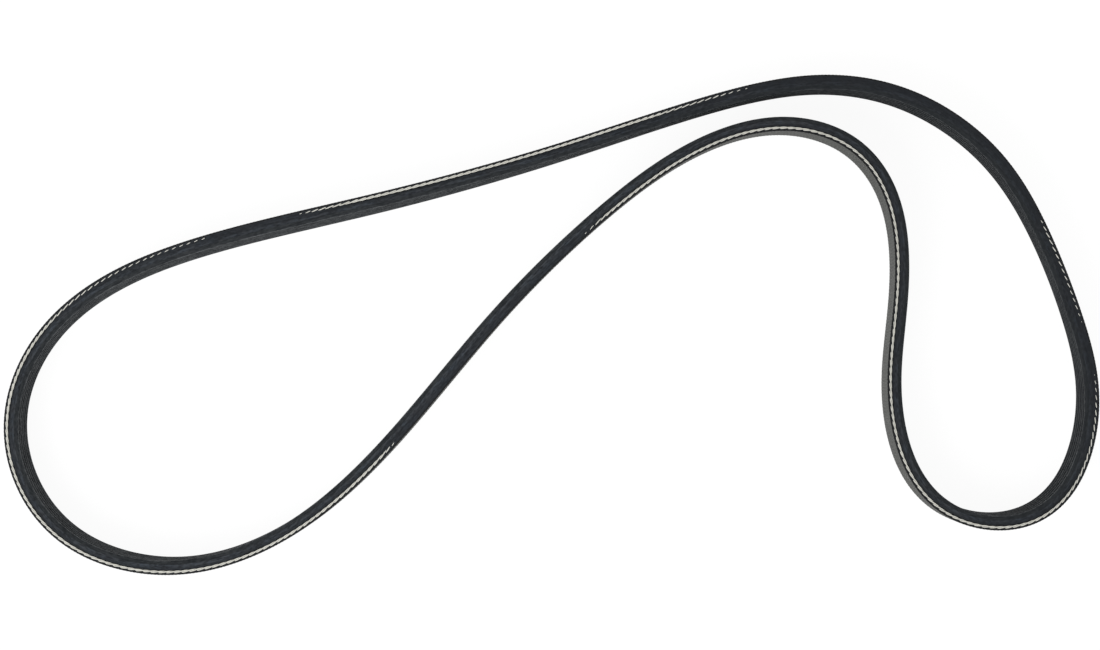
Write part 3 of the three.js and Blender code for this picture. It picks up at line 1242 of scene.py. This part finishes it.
def cord_tree():
    """Lays a twisted cord of several plies along an edge, and slices it at the cut."""
    inputs = [
        ("Route", "Geometry"), ("Plies", "Int"), ("Turns", "Float"), ("Lay Radius", "Float"),
        ("Ply Radius", "Float"), ("Ply Sides", "Int"), ("Belt Width", "Float"),
        ("Loop Length", "Float"), ("Edge Height", "Float"), ("Inward", "Float"),
        ("Lower Edge", "Bool"), ("Proud", "Float"), ("Dip", "Float"), ("Kept Crown", "Float"),
        ("Material", "Material"),
    ]
    tree, ins, out = new_tree("twisted_cord", "GeometryNodeTree", inputs, [("Cord", "Geometry")])
    wound = wind_ply(tree, ins)
    inputs = {"Resolution": ins["Ply Sides"], "Radius": ins["Ply Radius"]}
    circle = add(tree, "GeometryNodeCurvePrimitiveCircle", inputs).outputs[0]
    side = add(tree, "GeometryNodeSplineParameter").outputs["Factor"]
    circle = store(tree, circle, "ply_side", side)
    inputs = {"Curve": wound, "Profile Curve": circle}
    cord = add(tree, "GeometryNodeCurveToMesh", inputs).outputs[0]
    cord = slice_cord(tree, ins, cord)
    turn = calculate(tree, "ADD", read(tree, "ply_side"), read(tree, "ply_share"))
    ply_girth = calculate(tree, "MULTIPLY", ins["Ply Radius"], 2 * math.pi)
    place = drum_place(tree, calculate(tree, "MULTIPLY", turn, ply_girth), ins["Loop Length"])
    cord = store(tree, cord, "ply_place", place, "FLOAT_VECTOR")
    plug(tree, finish_surface(tree, cord, ins["Material"], NO_SHARP_EDGES), out.inputs[0])
    return tree


CORD_TREE = cord_tree()
print("nodes in the cord tree:", len(CORD_TREE.nodes))

# %% [markdown]
# ## The two bare cords
#
# The upper edge is the one in view, so its cord gets more sides and stations. It also stands a
# hair proud of the cut, where the lower one, which the belt stands on, is cut flush.

# %% Lay the cords
UPPER_STATIONS_PER_TURN = 16
UPPER_PLY_SIDES = 10
LOWER_STATIONS_PER_TURN = 12
LOWER_PLY_SIDES = 8


def lay_cord(name, edge_height, inward, stations_per_turn, sides):
    """The outermost cord at one cut edge."""
    values = {
        "Plies": CORD_PLIES, "Turns": float(CORD_TURNS), "Lay Radius": LAY_RADIUS,
        "Ply Radius": PLY_RADIUS, "Ply Sides": sides, "Belt Width": BELT_WIDTH,
        "Loop Length": PITCH_LENGTH, "Edge Height": edge_height, "Inward": inward,
        "Lower Edge": inward > 0, "Proud": CUT_PROUD if inward < 0 else 0.0,
        "Dip": CUT_DIP, "Kept Crown": KEPT_CROWN if inward < 0 else 0.0, "Material": YARN,
    }
    ring = route_ring(name + "_route", CORD_TURNS * stations_per_turn)
    piece = grow(name, ring, CORD_TREE, values)
    report(piece)
    return piece


upper_cord = lay_cord("upper_cord", BELT_WIDTH, -1.0, UPPER_STATIONS_PER_TURN, UPPER_PLY_SIDES)
lower_cord = lay_cord("lower_cord", 0.0, 1.0, LOWER_STATIONS_PER_TURN, LOWER_PLY_SIDES)

# %% [markdown]
# ## Tying the pieces to the engineering model
#
# Every piece rides on the model's one body. The rubber and the backing together stand for the
# solid body of the belt, and each cord stands for its own solid.

# %% Ride and replace
for piece, node, slot in [
    (ribbed_rubber, "belt_body", "belt_rubber"),
    (backing_layer, "belt_body", "belt_rubber"),
    (upper_cord, "upper_edge_cord", "cord_polyester"),
    (lower_cord, "lower_edge_cord", "cord_polyester"),
]:
    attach(piece, "root")
    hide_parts(node)

# %% [markdown]
# ## The floor
#
# The belt stands on a white surface, as on a light table, so its shadow is faint. More light
# would turn the floor white, but it would bleach the belt too. So the floor has two looks: the
# camera sees it glow as white as paper, with a little plain white that takes the shadow, and
# the belt gets the light of an ordinary white floor. It lies a hair under the belt's foot,
# because faces at one height flicker against each other when they are seen from below.

# %% Floor
FLOOR_SIZE = 12
FLOOR_WHITE = (0.9, 0.9, 0.9, 1)
FLOOR_GLOW = 0.92
FLOOR_SHADE = 0.13
FLOOR_GAP = 0.05 * MM


def seen_directly(tree):
    """1 for rays that come from the camera, a mirror or glass."""
    rays = add(tree, "ShaderNodeLightPath").outputs
    seen = calculate(tree, "ADD", rays["Is Camera Ray"], rays["Is Glossy Ray"])
    seen = calculate(tree, "ADD", seen, rays["Is Transmission Ray"])
    return calculate(tree, "MINIMUM", seen, 1.0)


def floor_material():
    """White paper: for the camera it glows a little, so that only its shadow is left."""
    material = bpy.data.materials.new("white_table")
    material.use_nodes = True
    tree = material.node_tree
    tree.nodes.clear()
    plain = add(tree, "ShaderNodeBsdfDiffuse", {"Color": FLOOR_WHITE}).outputs[0]
    glow = add(tree, "ShaderNodeEmission", {"Strength": FLOOR_GLOW}).outputs[0]
    grey = (FLOOR_SHADE, FLOOR_SHADE, FLOOR_SHADE, 1)
    shaded = add(tree, "ShaderNodeBsdfDiffuse", {"Color": grey}).outputs[0]
    bright = add(tree, "ShaderNodeAddShader", {0: glow, 1: shaded}).outputs[0]
    inputs = {0: seen_directly(tree), 1: plain, 2: bright}
    shader = add(tree, "ShaderNodeMixShader", inputs).outputs[0]
    add(tree, "ShaderNodeOutputMaterial", {"Surface": shader})
    return material


def make_floor():
    """A large square under the belt's foot."""
    half = FLOOR_SIZE / 2
    corners = [(-half, -half), (half, -half), (half, half), (-half, half)]
    corners = [(x, y, -FLOOR_GAP) for x, y in corners]
    mesh = bpy.data.meshes.new("floor")
    mesh.from_pydata(corners, [], [(0, 1, 2, 3)])
    mesh.materials.append(floor_material())
    floor = bpy.data.objects.new("floor", mesh)
    bpy.context.scene.collection.objects.link(floor)
    return floor


floor = make_floor()
print("floor size in m:", FLOOR_SIZE)

# %% [markdown]
# ## World and lamp
#
# Soft light from all round shows the true colour of black rubber, and one large lamp, high up
# at the picture's lower left, gives the ribs and the cross ribs their light and shade. Both stay
# at a plain level, at which a colour looks as it is written. The camera sees the world as plain
# white.

# %% World and lamp
PAPER_WHITE = 1.0
WORLD_LIGHT = 0.7
LAMP_POWER = 5.0
LAMP_SIZE = 0.6
LAMP_PLACE = Vector((-0.42, -0.42, 0.75))


def make_world():
    """Even light from all round, and plain white behind the belt."""
    world = bpy.data.worlds.new("light_tent")
    world.use_nodes = True
    tree = world.node_tree
    tree.nodes.clear()
    white = (1, 1, 1, 1)
    inputs = {"Color": white, "Strength": WORLD_LIGHT}
    light = add(tree, "ShaderNodeBackground", inputs).outputs[0]
    inputs = {"Color": white, "Strength": PAPER_WHITE}
    paper = add(tree, "ShaderNodeBackground", inputs).outputs[0]
    inputs = {0: seen_directly(tree), 1: light, 2: paper}
    shader = add(tree, "ShaderNodeMixShader", inputs).outputs[0]
    add(tree, "ShaderNodeOutputWorld", {"Surface": shader})
    return world


def make_lamp():
    """A soft lamp that shines on the belt from high up on the left."""
    data = bpy.data.lights.new("soft_lamp", "AREA")
    data.energy = LAMP_POWER
    data.size = LAMP_SIZE
    lamp = bpy.data.objects.new("soft_lamp", data)
    bpy.context.scene.collection.objects.link(lamp)
    lamp.location = LAMP_PLACE
    lamp.rotation_mode = "QUATERNION"
    lamp.rotation_quaternion = (-LAMP_PLACE).to_track_quat("-Z", "Y")
    return lamp


bpy.context.scene.world = make_world()
make_lamp()
bpy.context.scene.view_settings.view_transform = "Standard"
print("world light:", WORLD_LIGHT, "lamp power in W:", LAMP_POWER)
